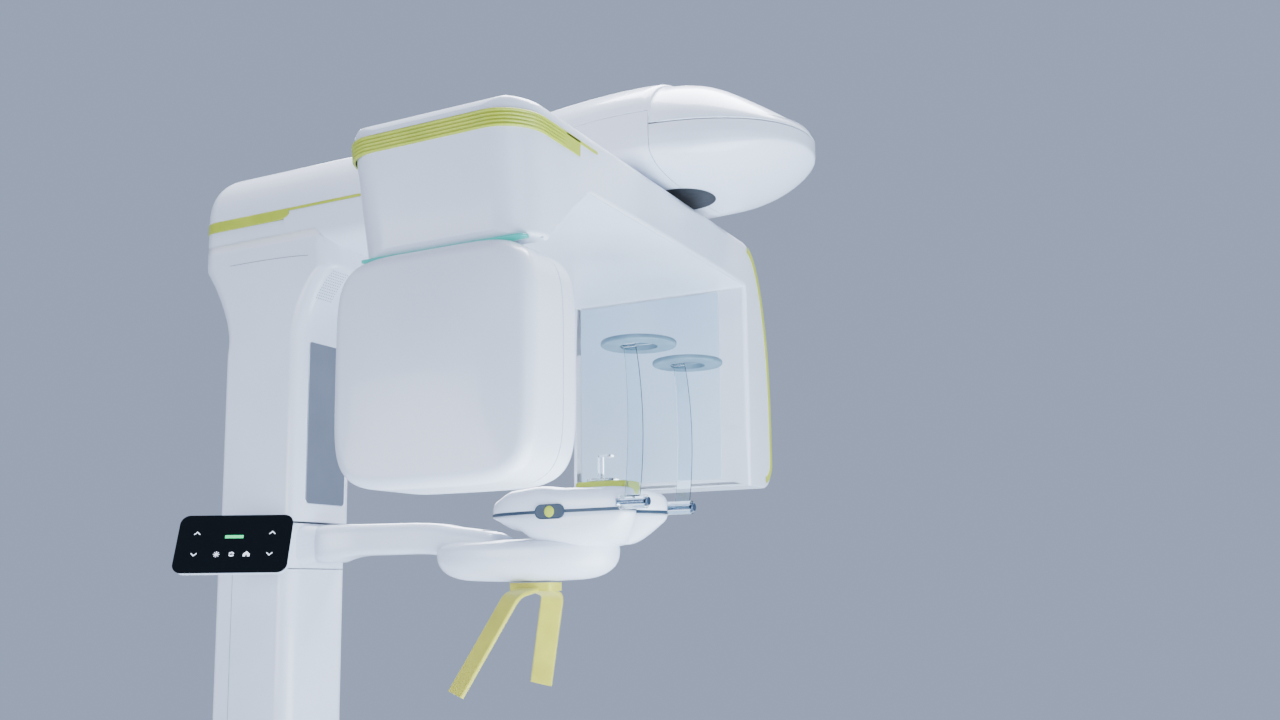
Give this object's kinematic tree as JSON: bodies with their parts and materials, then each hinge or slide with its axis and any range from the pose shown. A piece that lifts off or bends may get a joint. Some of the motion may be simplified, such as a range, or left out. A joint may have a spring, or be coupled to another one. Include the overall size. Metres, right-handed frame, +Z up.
{
  "type": "panoramic x-ray machine",
  "caption": "Floor-standing dental panoramic x-ray machine with lifting column, overhead arm, rotating U-shaped gantry and chin support.",
  "frame": {"origin": "on the floor, under the column's axis", "axes": "+Z up; -Y from the column towards the patient, along the arm; X along the gantry at rest, generator at -X and detector at +X"},
  "size_m": [1.0045, 1.459, 1.785],
  "materials": {
    "white_plastic": "moulded, glossy white",
    "lime_plastic": "moulded, satin lime",
    "handle_plastic": "soft-touch yellow-green",
    "slate_plastic": "moulded, dark slate",
    "black_plastic": "moulded, black",
    "black_glass": "printed touch glass",
    "red_plastic": "moulded, red",
    "light_plastic": "lit teal diffuser",
    "window_plastic": "light blue panel",
    "pad_plastic": "grey-teal pad",
    "mirror_glass": "mirror",
    "clear_acrylic": "polished clear acrylic",
    "steel": "machined steel",
    "painted_steel": "powder coated",
    "aluminium": "extruded",
    "grey_plastic": "moulded, grey",
    "belt_rubber": "toothed belt"
  },
  "bodies": {
    "stand": {"base_plate": "painted_steel", "mast_bolts": "steel", "outer_mast": "painted_steel", "base_skirt": "white_plastic", "lower_column_cover": "white_plastic", "column_rear_panel": "white_plastic", "column_top_cap": "grey_plastic", "lower_glide_pads": "grey_plastic", "lift_motor": "painted_steel", "actuator_tube": "aluminium", "power_inlet": "black_plastic"},
    "lift_screw": {"lead_screw": "steel"},
    "switch_rocker": {"main_switch": "black_plastic"},
    "carriage": {"carriage_frame": "painted_steel", "upper_glide_pads": "grey_plastic", "actuator_rod": "steel", "chin_arm_collar": "white_plastic", "chin_arm_cover": "white_plastic", "carriage_cover": "white_plastic", "mirror": "mirror_glass", "arm_lower_shell": "white_plastic", "arm_trim": "lime_plastic", "arm_top_cover": "white_plastic", "nose_lower_cover": "white_plastic", "slot_cover": "black_plastic", "stage_rails": "steel", "lower_support_body": "white_plastic", "handle_frame": "handle_plastic", "support_lower_shell": "white_plastic", "support_band": "slate_plastic", "support_upper_shell": "white_plastic", "chin_pad": "lime_plastic", "temple_pins": "steel", "panel_arm": "painted_steel"},
    "stop_button": {"emergency_stop": "red_plastic"},
    "panel": {"panel_housing": "white_plastic", "panel_glass": "black_glass"},
    "knob": {"slide_knob": "lime_plastic"},
    "bite": {"bite_piece": "clear_acrylic"},
    "left_arm": {"temple_arm_left": "clear_acrylic"},
    "right_arm": {"temple_arm_right": "clear_acrylic"},
    "left_ring": {"temple_ring_left": "pad_plastic"},
    "right_ring": {"temple_ring_right": "pad_plastic"},
    "stage": {"stage_plate": "aluminium", "rotation_motor": "painted_steel", "drive_belt": "belt_rubber"},
    "pulley": {"motor_pulley": "aluminium"},
    "gantry": {"rotor_hub": "aluminium", "gantry_frame": "aluminium", "gantry_outer_shell": "white_plastic", "gantry_lining": "white_plastic", "ribbed_band": "lime_plastic", "generator_outer_housing": "white_plastic", "generator_inner_housing": "white_plastic", "tube_head": "painted_steel", "generator_light": "light_plastic", "detector_sensor": "black_plastic", "detector_window": "window_plastic", "limb_trim": "lime_plastic"},
    "blades": {"collimator_blades": "steel"}
  },
  "joints": [
    {"name": "lift", "type": "slide", "parent": "stand", "child": "carriage", "axis": [0, 0, 1], "range_m": [0, 0.6]},
    {"name": "lift_screw_turn", "type": "hinge", "parent": "stand", "child": "lift_screw", "pos_m": [0, -0.028, 0.3], "axis": [0, 0, 1], "range_deg": [0, 10800.5]},
    {"name": "main_switch_rock", "type": "hinge", "parent": "stand", "child": "switch_rocker", "pos_m": [0, 0.098, 0.17], "axis": [1, 0, 0], "range_deg": [-8, 8]},
    {"name": "stop_press", "type": "slide", "parent": "carriage", "child": "stop_button", "axis": [-1, 0, 0], "range_m": [0, 0.005]},
    {"name": "panel_swivel", "type": "hinge", "parent": "carriage", "child": "panel", "pos_m": [-0.1255, -0.014, 0.92], "axis": [0, 0, 1], "range_deg": [-25, 0]},
    {"name": "knob_slide", "type": "slide", "parent": "carriage", "child": "knob", "axis": [0, 1, 0], "range_m": [0, 0.0161]},
    {"name": "bite_lift", "type": "slide", "parent": "carriage", "child": "bite", "axis": [0, 0, 1], "range_m": [0, 0.02]},
    {"name": "left_arm_open", "type": "hinge", "parent": "carriage", "child": "left_arm", "pos_m": [-0.098, -0.93, 0.984], "axis": [0, -1, 0], "range_deg": [0, 12]},
    {"name": "right_arm_open", "type": "hinge", "parent": "carriage", "child": "right_arm", "pos_m": [0.098, -0.93, 0.984], "axis": [0, 1, 0], "range_deg": [0, 12.01]},
    {"name": "left_ring_tilt", "type": "hinge", "parent": "left_arm", "child": "left_ring", "pos_m": [-0.106, -0.936, 1.269], "axis": [0, 1, 0], "range_deg": [0, 60]},
    {"name": "right_ring_tilt", "type": "hinge", "parent": "right_arm", "child": "right_ring", "pos_m": [0.106, -0.936, 1.269], "axis": [0, -1, 0], "range_deg": [0, 60]},
    {"name": "gantry_shift", "type": "slide", "parent": "carriage", "child": "stage", "axis": [0, -1, 0], "range_m": [0, 0.09]},
    {"name": "gantry_rotation", "type": "hinge", "parent": "stage", "child": "gantry", "pos_m": [0, -0.825, 1.6], "axis": [0, 0, 1], "range_deg": [-185, 185]},
    {"name": "pulley_turn", "type": "hinge", "parent": "stage", "child": "pulley", "pos_m": [0, -0.635, 1.58], "axis": [0, 0, 1], "range_deg": [-856, 856]},
    {"name": "blade_slide", "type": "slide", "parent": "gantry", "child": "blades", "axis": [0, 1, 0], "range_m": [-0.024, 0]}
  ],
  "couplings": [
    {"joint": "lift_screw_turn", "follows": "lift", "rad_per_m": 314.16},
    {"joint": "right_arm_open", "follows": "left_arm_open", "ratio": 1},
    {"joint": "knob_slide", "follows": "left_arm_open", "m_per_rad": 0.0764},
    {"joint": "pulley_turn", "follows": "gantry_rotation", "ratio": 4.625}
  ]
}
